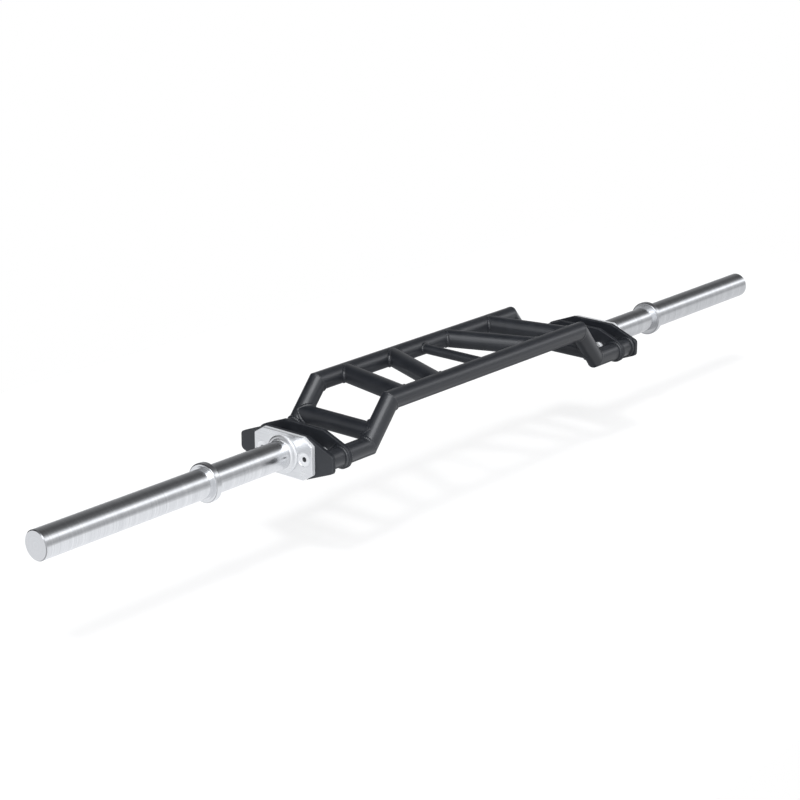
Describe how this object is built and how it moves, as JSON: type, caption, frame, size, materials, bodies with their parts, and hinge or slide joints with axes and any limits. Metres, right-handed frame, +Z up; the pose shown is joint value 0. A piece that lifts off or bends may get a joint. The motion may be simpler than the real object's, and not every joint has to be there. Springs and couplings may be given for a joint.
{
  "type": "swiss bar",
  "caption": "Cambered multi-grip barbell: side rails joined by straight and angled cross grips, raised between end brackets that carry bolted plate sleeves with stop collars.",
  "frame": {"origin": "middle of the bar's length and width, on the surface that the outer bracket plates stand on", "axes": "+X along the bar to its right end, +Y to the rear, +Z up to the raised rails"},
  "size_m": [2, 0.21, 0.122],
  "materials": {
    "frame_paint": "black powder coat with a fine texture",
    "plated_steel": "bright plated steel with fine lathe marks",
    "fastener_steel": "zinc plated"
  },
  "bodies": {
    "root": {"front_top_rail": "frame_paint", "rear_top_rail": "frame_paint", "front_riser_left": "frame_paint", "front_riser_right": "frame_paint", "rear_riser_left": "frame_paint", "rear_riser_right": "frame_paint", "front_foot_left": "frame_paint", "front_foot_right": "frame_paint", "rear_foot_left": "frame_paint", "rear_foot_right": "frame_paint", "low_grip_left": "frame_paint", "low_grip_right": "frame_paint", "wide_grip_left": "frame_paint", "wide_grip_right": "frame_paint", "close_grip_left": "frame_paint", "close_grip_right": "frame_paint", "centre_bar": "frame_paint", "inner_plate_left": "frame_paint", "inner_plate_right": "frame_paint", "outer_plate_left": "frame_paint", "outer_plate_right": "frame_paint", "flange_left": "plated_steel", "flange_right": "plated_steel", "hub_fillet_left": "plated_steel", "hub_fillet_right": "plated_steel", "sleeve_left": "plated_steel", "sleeve_right": "plated_steel", "collar_left": "plated_steel", "collar_right": "plated_steel", "end_cap_left": "plated_steel", "end_cap_right": "plated_steel", "screws_left": "fastener_steel", "screws_right": "fastener_steel", "spacers_left": "fastener_steel", "spacers_right": "fastener_steel", "washers_left": "fastener_steel", "washers_right": "fastener_steel", "nuts_left": "fastener_steel", "nuts_right": "fastener_steel"}
  },
  "joints": []
}
